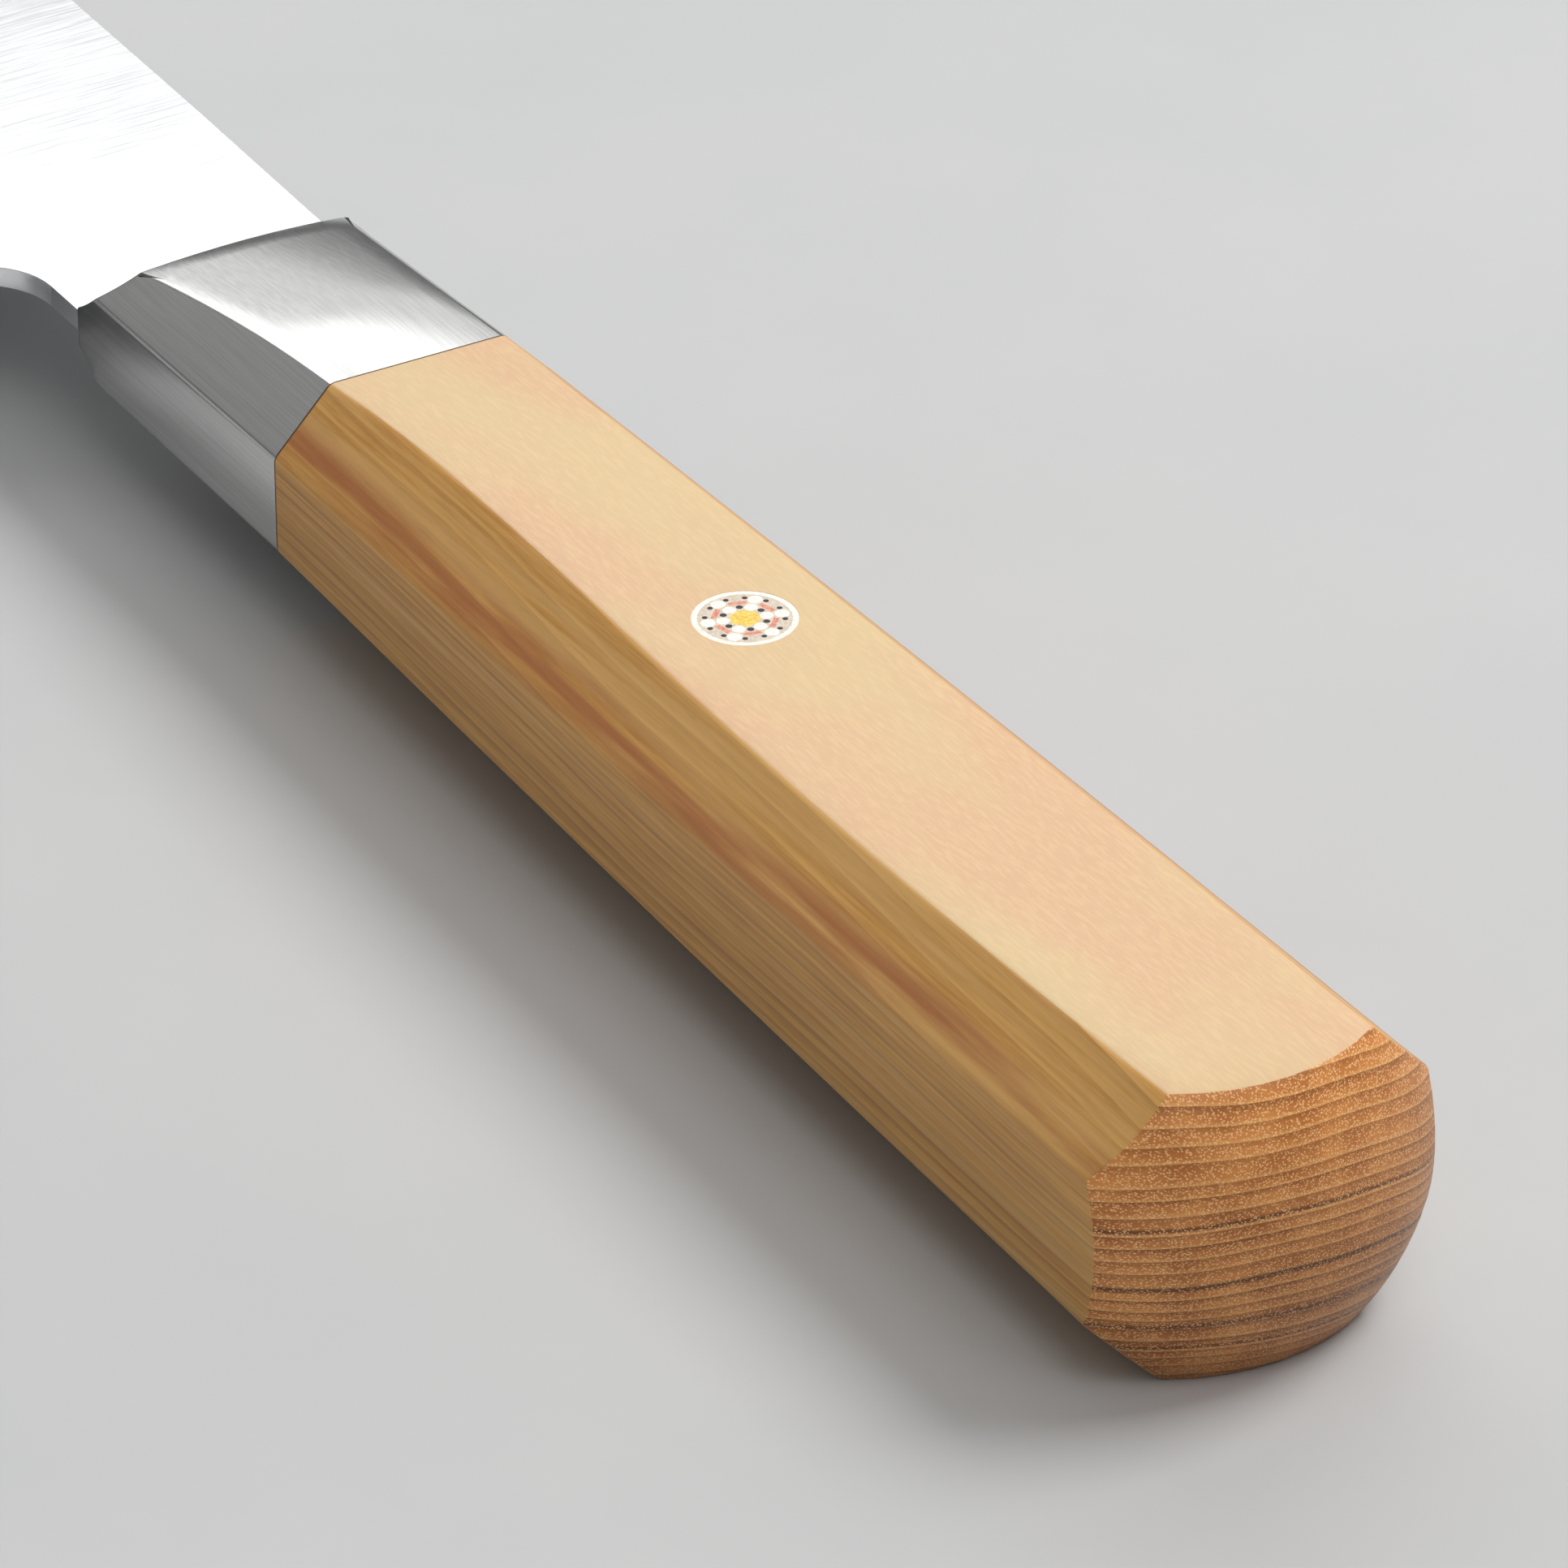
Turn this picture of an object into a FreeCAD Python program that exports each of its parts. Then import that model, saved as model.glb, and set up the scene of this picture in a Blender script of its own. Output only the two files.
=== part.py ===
import FreeCAD, Part
import math
import os
import Sketcher

# A chef's knife with a hidden tang, lying on its side: +X runs to the tip, +Y to the cutting edge, +Z up.
# Every piece is drawn in the handle's own frame, whose zero is on the handle's middle line at the joint of
# wood and bolster, and its Placement then moves it so that the knife's box stands on the row's origin.

doc = FreeCAD.newDocument("ChefKnife")
dims = doc.addObject("Spreadsheet::Sheet", "dims")

DRIVING = {
    # wooden handle: lengths along X, heights across Y (spine to edge side), thicknesses along Z
    "wood_length": 100.5,
    "height_joint": 20.2,
    "height_middle": 21.8,
    "height_butt": 22.3,
    "thick_joint": 14.8,
    "thick_quarter": 16.64,
    "thick_middle": 16.72,
    "thick_threequarter": 17.5,
    "thick_butt": 18.84,
    "side_flat_joint": 6.5,
    "side_flat_butt": 9.5,
    "chamfer_run": 0.965,
    "butt_plan_radius": 15.55,
    "butt_section_radius": 16.8,
    # bolster: an octagon that thins towards the blade, then a scooped nose down to the blade's flats
    "bolster_length": 26.6,
    "nose_start": 21.9,
    "nose_lip": 0.25,
    "nose_radius": 16.0,
    "bolster_thick_middle": 13.3,
    "bolster_thick_front": 10.9,
    "bolster_thick_end": 10.1,
    "bolster_flat_front": 6.2,
    "bolster_edge_side": 10.1,
    "bolster_spine_side": 9.0,
    # blade: heel to tip, spine to edge
    "blade_length": 210.0,
    "blade_height": 45.0,
    "spine_thick": 2.2,
    "grind_slope": 0.0189,
    "distal_slope": 0.0019,
    "grind_run_in": 2.0,
    "bevel_width": 3.5,
    "edge_thick": 0.12,
    "neck_length": 4.4,
    "neck_edge_side": 9.7,
    "choil_radius": 5.6,
    "heel_slant": 1.2,
    "spine_slope": 0.016,
    "spine_drop": 19.0,
    "tip_blunt": 0.5,
    # tang, its slot in the wood and the bedding round it
    "tang_height": 12.0,
    "tang_end_height": 8.0,
    "tang_reach": 66.0,
    "slot_height": 14.0,
    "slot_thick": 3.4,
    "slot_depth": 69.0,
    # mosaic pin
    "pin_from_joint": 38.9,
    "pin_across": -0.47,
    "pin_diameter": 6.35,
    "pin_length": 16.66,
    "pin_wall": 0.36,
    "core_flats": 1.7,
    "inner_circle": 1.32,
    "inner_bright": 0.8,
    "inner_dark": 0.42,
    "copper_circle": 1.79,
    "copper_thick": 0.33,
    "copper_width": 1.1,
    "outer_circle": 2.25,
    "outer_bright": 0.9,
    "outer_dark_circle": 2.36,
    "outer_dark": 0.34,
    # where the handle's frame sits in the row's frame, worked out from the finished pieces
    "place_along": 0,
    "place_across": 0,
    "place_up": 0,
}
PIN_TURN = -16  # degrees: the brass hexagon's first corner from +X

for row, (word, number) in enumerate(DRIVING.items(), start=1):
    dims.set(f"A{row}", word)
    dims.set(f"B{row}", str(number))
    dims.setAlias(f"B{row}", word)
doc.recompute()


def value(expression):
    """The number that an expression on the sheet stands for."""
    return float(dims.evalExpression(expression.replace("dims.", "")))


def add_body(label):
    body = doc.addObject("PartDesign::Body", label)
    body.Label = label
    body.AllowCompound = True
    for axis, word in (("x", "place_along"), ("y", "place_across"), ("z", "place_up")):
        body.setExpression(f"Placement.Base.{axis}", f"dims.{word}")
    return body


def add_sketch(body, name, plane, offset="0"):
    """An empty sketch on one of the body's own origin planes, moved along that plane's normal."""
    sketch = body.newObject("Sketcher::SketchObject", name)
    support = next(f for f in body.Origin.OriginFeatures if f.Role == plane)
    sketch.AttachmentSupport = [(support, "")]
    sketch.MapMode = "FlatFace"
    sketch.setExpression("AttachmentOffset.Base.z", offset)
    return sketch


def hold_point(sketch, geometry, end, across, up):
    """Holds one point of a sketch at two sheet expressions."""
    for kind, expression in (("DistanceX", across), ("DistanceY", up)):
        rule = Sketcher.Constraint(kind, -1, 1, geometry, end, value(expression))
        index = sketch.addConstraint(rule)
        sketch.setExpression(f"Constraints[{index}]", expression)


def add_outline(sketch, corners, arcs=None):
    """A closed outline. Each corner is two expressions; arcs gives, for the side that starts at a corner,
    the expression of its radius and +1 or -1 for the side of the chord that its centre lies on."""
    arcs = arcs or {}
    places = [FreeCAD.Vector(value(x), value(y), 0) for x, y in corners]
    count, first = len(corners), sketch.GeometryCount
    starts = []  # which end of each side, 1 or 2, lies on the corner that the side starts from
    for i, start in enumerate(places):
        end = places[(i + 1) % count]
        if i not in arcs:
            sketch.addGeometry(Part.LineSegment(start, end), False)
            starts.append(1)
            continue
        # a sketch keeps its arcs counter-clockwise, so one that bends the other way is drawn backwards
        radius, side = value(arcs[i][0]), arcs[i][1]
        chord = end - start
        normal = FreeCAD.Vector(-chord.y, chord.x, 0).normalize() * side
        rise = radius - math.sqrt(radius**2 - (chord.Length / 2) ** 2)
        middle = (start + end) * 0.5 - normal * rise
        path = (start, middle, end) if side > 0 else (end, middle, start)
        sketch.addGeometry(Part.Arc(*path), False)
        starts.append(1 if side > 0 else 2)
    for i in range(count):
        following = (i + 1) % count
        joined = (first + i, 3 - starts[i], first + following, starts[following])
        sketch.addConstraint(Sketcher.Constraint("Coincident", *joined))
        hold_point(sketch, first + i, starts[i], *corners[i])
        if i in arcs:
            index = sketch.addConstraint(Sketcher.Constraint("Radius", first + i, value(arcs[i][0])))
            sketch.setExpression(f"Constraints[{index}]", arcs[i][0])


def add_circle(sketch, across, up, diameter):
    centre = FreeCAD.Vector(value(across), value(up), 0)
    circle = sketch.addGeometry(Part.Circle(centre, FreeCAD.Vector(0, 0, 1), value(diameter) / 2), False)
    hold_point(sketch, circle, 3, across, up)
    index = sketch.addConstraint(Sketcher.Constraint("Diameter", circle, value(diameter)))
    sketch.setExpression(f"Constraints[{index}]", diameter)


def add_loft(body, name, sketches, ruled):
    loft = body.newObject("PartDesign::AdditiveLoft", name)
    loft.Profile = sketches[0]
    loft.Sections = sketches[1:]
    loft.Ruled = ruled
    return loft


def add_plate(body, kind, name, sketch, length):
    """A Pad or Pocket of the sketch, half of its length to each side of the sketch's plane."""
    plate = body.newObject(f"PartDesign::{kind}", name)
    plate.Profile = sketch
    plate.SideType = "Symmetric"
    plate.setExpression("Length", length)
    return plate


def cut_pin_hole(body):
    """The hole that the mosaic pin fills, through everything at its place."""
    sketch = add_sketch(body, "PinHoleSketch", "XY_Plane")
    add_circle(sketch, "-dims.pin_from_joint", "dims.pin_across", "dims.pin_diameter")
    return add_plate(body, "Pocket", "PinHole", sketch, "dims.thick_butt + 10")


def rectangle(left, right, low, high):
    return [(left, low), (right, low), (right, high), (left, high)]


def octagon(edge_side, spine_side, thick, flat):
    """Corners of the handle's section: flat sides, flat top and bottom, and chamfers between them."""
    run = f"dims.chamfer_run * (({thick}) - ({flat})) / 2"
    return [
        (f"{edge_side}", f"-({flat}) / 2"),
        (f"{edge_side}", f"({flat}) / 2"),
        (f"{edge_side} - {run}", f"({thick}) / 2"),
        (f"-({spine_side}) + {run}", f"({thick}) / 2"),
        (f"-({spine_side})", f"({flat}) / 2"),
        (f"-({spine_side})", f"-({flat}) / 2"),
        (f"-({spine_side}) + {run}", f"-({thick}) / 2"),
        (f"{edge_side} - {run}", f"-({thick}) / 2"),
    ]


def mix(first, last, share):
    """The expression of a size that goes evenly from one sheet size to another."""
    return f"(dims.{first} + {share} * (dims.{last} - dims.{first}))"


def make_handle_block():
    """One block of wood: octagonal, waisted behind the bolster, with a domed butt and a blind tang slot."""
    body = add_body("handle_block")
    heights = ["height_joint", None, "height_middle", None, "height_butt"]
    thicks = ["thick_joint", "thick_quarter", "thick_middle", "thick_threequarter", "thick_butt"]
    # between the named heights the parabola through all three gives the quarter stations
    heights[1] = "(3 * dims.height_joint + 6 * dims.height_middle - dims.height_butt) / 8"
    heights[3] = "(3 * dims.height_butt + 6 * dims.height_middle - dims.height_joint) / 8"
    sketches = []
    for i, thick in enumerate(thicks):
        height = heights[i] if i % 2 else f"dims.{heights[i]}"
        sketch = add_sketch(body, f"Section{i}", "YZ_Plane", f"-dims.wood_length * {i / 4}")
        half = f"({height}) / 2"
        flat = mix("side_flat_joint", "side_flat_butt", i / 4)
        add_outline(sketch, octagon(half, half, f"dims.{thick}", flat))
        sketches.append(sketch)
    add_loft(body, "Block", sketches, False)

    # the waste beyond the dome, turned about an upright line inside the butt
    waste = add_sketch(body, "DomeSketch", "XZ_Plane")
    reach = "0.6 * dims.thick_butt"
    inset = f"dims.butt_section_radius - sqrt(dims.butt_section_radius^2 - ({reach})^2)"
    corners = [
        (f"-dims.wood_length + {inset}", f"-{reach}"),
        (f"-dims.wood_length + {inset}", reach),
        ("-dims.wood_length - 8", reach),
        ("-dims.wood_length - 8", f"-{reach}"),
    ]
    add_outline(waste, corners, {0: ("dims.butt_section_radius", -1)})
    axis_x = value("-dims.wood_length + dims.butt_plan_radius")
    foot, head = FreeCAD.Vector(axis_x, -5, 0), FreeCAD.Vector(axis_x, 5, 0)
    axis = waste.addGeometry(Part.LineSegment(foot, head), True)
    hold_point(waste, axis, 1, "-dims.wood_length + dims.butt_plan_radius", "-5")
    hold_point(waste, axis, 2, "-dims.wood_length + dims.butt_plan_radius", "5")
    doc.recompute()
    dome = body.newObject("PartDesign::Groove", "Dome")
    dome.Profile = waste
    dome.ReferenceAxis = (waste, ["Axis0"])
    dome.Midplane = True
    dome.Angle = 180

    slot = add_sketch(body, "SlotSketch", "YZ_Plane")
    half = "dims.slot_height / 2"
    add_outline(slot, rectangle(f"-{half}", half, "-dims.slot_thick / 2", "dims.slot_thick / 2"))
    pocket = body.newObject("PartDesign::Pocket", "Slot")
    pocket.Profile = slot
    pocket.setExpression("Length", "dims.slot_depth")
    pocket.Reversed = False
    cut_pin_hole(body)
    return body


def tang_outline():
    """The tang seen flat: even through the bolster, then tapered to its end in the wood."""
    half, end = "dims.tang_height / 2", "dims.tang_end_height / 2"
    return [
        ("dims.bolster_length", f"-({half})"),
        ("dims.bolster_length", half),
        ("0", half),
        ("-dims.tang_reach", end),
        ("-dims.tang_reach", f"-({end})"),
        ("0", f"-({half})"),
    ]


def make_tang_bedding():
    """Cured epoxy that fills the slot round the tang."""
    body = add_body("tang_bedding")
    block = add_sketch(body, "BlockSketch", "XY_Plane")
    half = "dims.slot_height / 2"
    add_outline(block, rectangle("-dims.slot_depth", "0", f"-{half}", half))
    add_plate(body, "Pad", "Block", block, "dims.slot_thick")
    tang = add_sketch(body, "TangSketch", "XY_Plane")
    add_outline(tang, tang_outline())
    add_plate(body, "Pocket", "TangSpace", tang, "dims.spine_thick")
    cut_pin_hole(body)
    return body


def make_bolster():
    """Stainless bolster: the handle's octagon carried on towards the blade, with a slot for the tang."""
    body = add_body("bolster")
    stations = [
        ("0", "thick_joint", 0),
        ("dims.nose_start / 2", "bolster_thick_middle", 0.5),
        ("dims.nose_start", "bolster_thick_front", 1),
        ("dims.bolster_length", "bolster_thick_end", 1),
    ]
    sketches = []
    for i, (along, thick, share) in enumerate(stations):
        sketch = add_sketch(body, f"Section{i}", "YZ_Plane", along)
        edge_side = f"(dims.height_joint / 2 + {share} * (dims.bolster_edge_side - dims.height_joint / 2))"
        spine_side = f"(dims.height_joint / 2 + {share} * (dims.bolster_spine_side - dims.height_joint / 2))"
        flat = mix("side_flat_joint", "bolster_flat_front", share)
        add_outline(sketch, octagon(edge_side, spine_side, f"dims.{thick}", flat))
        sketches.append(sketch)
    add_loft(body, "Block", sketches, False)

    # the nose: scooped from the top and bottom faces down to a thin lip on the blade
    nose = add_sketch(body, "NoseSketch", "XZ_Plane")
    lip = "dims.spine_thick / 2 + dims.nose_lip"
    top, beyond = "dims.bolster_thick_front / 2", "dims.bolster_length + 2"
    for side in (1, -1):
        corners = [
            ("dims.nose_start", f"{side} * ({top})"),
            ("dims.bolster_length", f"{side} * ({lip})"),
            (beyond, f"{side} * ({lip})"),
            (beyond, f"{side} * dims.thick_joint"),
            ("dims.nose_start", f"{side} * dims.thick_joint"),
        ]
        add_outline(nose, corners, {0: ("dims.nose_radius", side)})
    add_plate(body, "Pocket", "Nose", nose, "dims.height_joint + 10")

    slot = add_sketch(body, "SlotSketch", "YZ_Plane", "dims.bolster_length / 2")
    half = "dims.tang_height / 2"
    add_outline(slot, rectangle(f"-{half}", half, "-dims.spine_thick / 2", "dims.spine_thick / 2"))
    add_plate(body, "Pocket", "Slot", slot, "dims.bolster_length + 10")
    return body


NECK_TO_HEEL = "(dims.neck_length + dims.choil_radius)"


def blade_section(share):
    """The unground blade's section at a share of its length from the heel: a plate with a bevelled edge."""
    along = f"({NECK_TO_HEEL} + {share} * dims.blade_length)"
    past_heel = max(share, 0)
    spine = f"(-dims.bolster_spine_side - dims.spine_slope * {along} + dims.spine_drop * {past_heel**6})"
    heel = "(dims.blade_height - dims.bolster_spine_side)"
    tip_spine = "dims.spine_drop - dims.bolster_spine_side - dims.spine_slope * dims.blade_length"
    tip = f"({tip_spine} + dims.tip_blunt)"
    edge = f"({heel} - ({heel} - {tip}) * {past_heel**3.3})"
    shoulder = f"({edge} - min(dims.bevel_width; 0.3 * ({edge} - {spine})))"
    sizes = [(spine, "dims.spine_thick"), (shoulder, "dims.spine_thick"), (edge, "dims.edge_thick")]
    low = [(across, f"-{size} / 2") for across, size in sizes]
    high = [(across, f"{size} / 2") for across, size in reversed(sizes)]
    return low + high


def cut_grind(body, name, side):
    """Grinds one flat of the blade to a plane that falls from the spine to the edge and from neck to tip."""
    sketch = add_sketch(body, f"{name}Sketch", "YZ_Plane", "dims.bolster_length - dims.grind_run_in")
    # a turn about the sketch's across axis tips the cut towards the middle plane as it goes to the tip
    tilt = math.degrees(math.atan(value("dims.distal_slope")))
    sketch.AttachmentOffset = FreeCAD.Placement(
        FreeCAD.Vector(), FreeCAD.Rotation(FreeCAD.Vector(1, 0, 0), side * tilt)
    )
    spine = "(dims.spine_thick / 2 + dims.distal_slope * dims.grind_run_in)"
    beyond = "dims.blade_height"
    corners = [
        (f"-{beyond}", f"{side} * ({spine} - dims.grind_slope * (dims.bolster_spine_side - {beyond}))"),
        (beyond, f"{side} * ({spine} - dims.grind_slope * (dims.bolster_spine_side + {beyond}))"),
        (beyond, f"{side} * dims.thick_joint"),
        (f"-{beyond}", f"{side} * dims.thick_joint"),
    ]
    add_outline(sketch, corners)
    grind = body.newObject("PartDesign::Pocket", name)
    grind.Profile = sketch
    grind.Reversed = True
    grind.setExpression("Length", "1.2 * dims.blade_length")
    return grind


def make_blade():
    """One steel forging: flat-ground blade, neck, choil and the stick tang inside the handle."""
    body = add_body("blade")
    heel = f"dims.bolster_length + {NECK_TO_HEEL}"
    neck_share = -value(NECK_TO_HEEL) / value("dims.blade_length")
    sketches = []
    for i, share in enumerate([neck_share, 0, 0.2, 0.4, 0.58, 0.73, 0.85, 0.93, 0.98, 1]):
        sketch = add_sketch(body, f"Section{i}", "YZ_Plane", f"{heel} + {share:.5f} * dims.blade_length")
        add_outline(sketch, blade_section(share))
        sketches.append(sketch)
    add_loft(body, "Plate", sketches, False)
    doc.recompute()
    cut_grind(body, "LeftGrind", 1)
    cut_grind(body, "RightGrind", -1)

    choil = add_sketch(body, "ChoilSketch", "XY_Plane")
    start = "dims.bolster_length + dims.neck_length"
    side = "dims.neck_edge_side"
    corners = [
        (start, side),
        (heel, f"{side} + dims.choil_radius"),
        (f"{heel} + dims.heel_slant", "dims.blade_height + 5"),
        ("dims.bolster_length - 5", "dims.blade_height + 5"),
        ("dims.bolster_length - 5", side),
    ]
    add_outline(choil, corners, {0: ("dims.choil_radius", 1)})
    add_plate(body, "Pocket", "Choil", choil, "dims.thick_joint")

    tang = add_sketch(body, "TangSketch", "XY_Plane")
    add_outline(tang, tang_outline())
    add_plate(body, "Pad", "Tang", tang, "dims.spine_thick")
    cut_pin_hole(body)
    return body


def add_pin_body(label):
    """A piece of the mosaic pin, drawn round its own axis and placed in the handle's middle."""
    body = add_body(label)
    body.Placement = FreeCAD.Placement(FreeCAD.Vector(), FreeCAD.Rotation(PIN_TURN, 0, 0))
    body.setExpression("Placement.Base.x", "dims.place_along - dims.pin_from_joint")
    body.setExpression("Placement.Base.y", "dims.place_across + dims.pin_across")
    return body


def add_ring(sketch, circle, diameter, angles):
    """Round rods at equal distance from the pin's axis."""
    for angle in angles:
        turn = math.radians(angle)
        add_circle(sketch, f"{circle} * {math.cos(turn):.6f}", f"{circle} * {math.sin(turn):.6f}", diameter)


CORNER_ANGLES = [60 * i for i in range(6)]
FLAT_ANGLES = [60 * i + 30 for i in range(6)]
PAIR_ANGLES = [60 * i + side for i in range(6) for side in (-14, 14)]


def draw_hexagon(sketch):
    radius = f"dims.core_flats * {1 / math.sqrt(3):.6f}"
    turns = [math.radians(angle) for angle in CORNER_ANGLES]
    add_outline(sketch, [(f"{radius} * {math.cos(t):.6f}", f"{radius} * {math.sin(t):.6f}") for t in turns])


def draw_strips(sketch):
    """Flat copper strips, each square to the line from the pin's axis."""
    for angle in CORNER_ANGLES:
        across, up = math.cos(math.radians(angle)), math.sin(math.radians(angle))
        corners = []
        for out, along in ((-1, -1), (1, -1), (1, 1), (-1, 1)):
            distance = f"(dims.copper_circle + {out} * dims.copper_thick / 2)"
            shift = f"({along} * dims.copper_width / 2)"
            corners.append(
                (
                    f"{distance} * {across:.6f} - {shift} * {up:.6f}",
                    f"{distance} * {up:.6f} + {shift} * {across:.6f}",
                )
            )
        add_outline(sketch, corners)


def draw_inner_bright(sketch):
    add_ring(sketch, "dims.inner_circle", "dims.inner_bright", FLAT_ANGLES)


def draw_inner_dark(sketch):
    add_ring(sketch, "dims.inner_circle", "dims.inner_dark", CORNER_ANGLES)


def draw_outer_bright(sketch):
    add_ring(sketch, "dims.outer_circle", "dims.outer_bright", FLAT_ANGLES)


def draw_outer_dark(sketch):
    add_ring(sketch, "dims.outer_dark_circle", "dims.outer_dark", PAIR_ANGLES)


def draw_bore(sketch):
    add_circle(sketch, "0", "0", "dims.pin_diameter - 2 * dims.pin_wall")


def draw_outside(sketch):
    add_circle(sketch, "0", "0", "dims.pin_diameter")


FILLERS = [draw_hexagon, draw_strips, draw_inner_bright, draw_inner_dark, draw_outer_bright, draw_outer_dark]
PIN_PIECES = {
    "pin_tube": [draw_outside, draw_bore],
    "pin_core": [draw_hexagon],
    "pin_inner_dark_rods": [draw_inner_dark],
    "pin_inner_bright_rods": [draw_inner_bright],
    "pin_copper_strips": [draw_strips],
    "pin_outer_bright_rods": [draw_outer_bright],
    "pin_outer_dark_rods": [draw_outer_dark],
    "pin_resin": [draw_bore] + FILLERS,
}


def make_pin_piece(label, drawings):
    body = add_pin_body(label)
    sketch = add_sketch(body, "Outline", "XY_Plane")
    for draw in drawings:
        draw(sketch)
    add_plate(body, "Pad", "Length", sketch, "dims.pin_length")
    return body


pieces = [make_blade(), make_bolster(), make_handle_block(), make_tang_bedding()]
pieces += [make_pin_piece(label, drawings) for label, drawings in PIN_PIECES.items()]
doc.recompute()

# the row's origin is the middle of the knife's box, at its lowest point
box = FreeCAD.BoundBox()
for piece in pieces:
    box.add(piece.Shape.optimalBoundingBox(False, False))
for word, shift in (("along", -box.Center.x), ("across", -box.Center.y), ("up", -box.ZMin)):
    dims.set(dims.getCellFromAlias(f"place_{word}"), f"{shift:.6f}")
doc.recompute()

# nothing is written until every object and every piece is sound
for thing in doc.Objects:
    if "Invalid" in thing.State or "Error" in thing.State:
        raise RuntimeError(f"{thing.Label} failed: {thing.State}")
for piece in pieces:
    if piece.Shape.isNull() or not piece.Shape.isValid() or not piece.Shape.Solids:
        raise RuntimeError(f"{piece.Label} has no valid solid")

os.makedirs("parts", exist_ok=True)
for piece in pieces:
    shape = piece.Shape
    shape.exportStep(f"parts/{piece.Label}.step")
    size = shape.optimalBoundingBox(False, False)
    corners = [round(x, 3) for x in (size.XMin, size.XMax, size.YMin, size.YMax, size.ZMin, size.ZMax)]
    print(f"{piece.Label}: {len(shape.Solids)} solid(s), {shape.Volume:.2f} mm3, box {corners}")
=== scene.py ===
import math

import bmesh
import bpy
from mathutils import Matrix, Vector


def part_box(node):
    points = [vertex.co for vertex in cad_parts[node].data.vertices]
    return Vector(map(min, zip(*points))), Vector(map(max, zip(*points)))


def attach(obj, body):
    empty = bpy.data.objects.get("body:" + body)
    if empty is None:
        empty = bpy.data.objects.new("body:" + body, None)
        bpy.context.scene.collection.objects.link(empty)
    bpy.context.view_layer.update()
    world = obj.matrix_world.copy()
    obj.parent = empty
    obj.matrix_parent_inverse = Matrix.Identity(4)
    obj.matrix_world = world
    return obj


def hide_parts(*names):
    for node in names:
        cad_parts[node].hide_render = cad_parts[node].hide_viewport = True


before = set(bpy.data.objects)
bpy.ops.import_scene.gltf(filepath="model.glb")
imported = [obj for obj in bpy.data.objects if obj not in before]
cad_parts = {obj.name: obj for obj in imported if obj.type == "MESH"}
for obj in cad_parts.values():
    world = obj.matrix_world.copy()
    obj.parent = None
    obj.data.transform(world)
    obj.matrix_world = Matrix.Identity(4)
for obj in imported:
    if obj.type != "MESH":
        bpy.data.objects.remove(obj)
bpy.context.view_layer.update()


# ---- Blade -------------------------------------------------------------------------------------
# One plate of stainless steel, forged with its hidden tang, ground flat on both sides from spine to
# edge, satin finished across its width, and honed to a narrow bevel. The spine and choil are eased.

MM = 0.001
BROKEN_CORNER = 0.25 * MM


def add_node(tree, kind, inputs=None, **settings):
    """A shader node, with each input linked if it is given a socket and set if it is given a value."""
    node = tree.nodes.new("ShaderNode" + kind)
    for name, setting in settings.items():
        setattr(node, name, setting)
    for name, source in (inputs or {}).items():
        if isinstance(source, bpy.types.NodeSocket):
            tree.links.new(source, node.inputs[name])
        else:
            node.inputs[name].default_value = source
    return node


def reckon(tree, operation, first, second=0.0, third=0.0):
    """The socket of a sum; third is only used by the sums that take three numbers."""
    return add_node(tree, "Math", {0: first, 1: second, 2: third}, operation=operation).outputs[0]


def ramp_between(tree, number, low, high):
    """0 below low, 1 above high and a soft step between them."""
    inputs = {"Value": number, "From Min": low, "From Max": high}
    return add_node(tree, "MapRange", inputs, interpolation_type="SMOOTHSTEP").outputs[0]


def spread(tree, number, low, high, at_low, at_high):
    """An even scale from one value where the number is low to another where it is high."""
    inputs = {"Value": number, "From Min": low, "From Max": high, "To Min": at_low, "To Max": at_high}
    return add_node(tree, "MapRange", inputs).outputs[0]


def blend_colours(tree, share, first, second):
    """The first colour where the share is 0 and the second where it is 1."""
    return add_node(tree, "Mix", {0: share, 6: first, 7: second}, data_type="RGBA").outputs[2]


def split_axes(tree, vector):
    return add_node(tree, "SeparateXYZ", {0: vector}).outputs


def facing_way(tree):
    """Which way the surface faces, before any smoothing, along each axis."""
    return split_axes(tree, add_node(tree, "NewGeometry").outputs["True Normal"])


def tint(red, green, blue):
    """A colour as a paint card gives it, 0 to 255, turned to light."""
    linear = [((c / 255 + 0.055) / 1.055) ** 2.4 for c in (red, green, blue)]
    return (*linear, 1.0)


def place_in_mm(tree, centre, stretch=(1, 1, 1)):
    """Where a point of the piece is, in millimetres from a centre, with each axis stretched."""
    scale = [1000 * share for share in stretch]
    shift = [-along * size for along, size in zip(centre, scale)]
    source = add_node(tree, "TexCoord").outputs["Object"]
    inputs = {"Vector": source, "Location": shift, "Scale": scale}
    return add_node(tree, "Mapping", inputs).outputs[0]


def cloud(tree, place, scale, detail=2.0, rough=0.5):
    inputs = {"Vector": place, "Scale": scale, "Detail": detail, "Roughness": rough}
    return add_node(tree, "TexNoise", inputs).outputs["Fac"]


def new_material(name, **surface):
    """A material of one Principled shader. What is even all over is set on the shader itself."""
    material = bpy.data.materials.new(name)
    material.use_nodes = True
    tree = material.node_tree
    shader = tree.nodes["Principled BSDF"]
    for socket, setting in surface.items():
        shader.inputs[socket.replace("_", " ").title().replace("Ior", "IOR")].default_value = setting
    return material, tree, shader


def add_bump(tree, shader, height, strength, distance):
    inputs = {"Height": height, "Strength": strength, "Distance": distance}
    tree.links.new(add_node(tree, "Bump", inputs).outputs[0], shader.inputs["Normal"])


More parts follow.
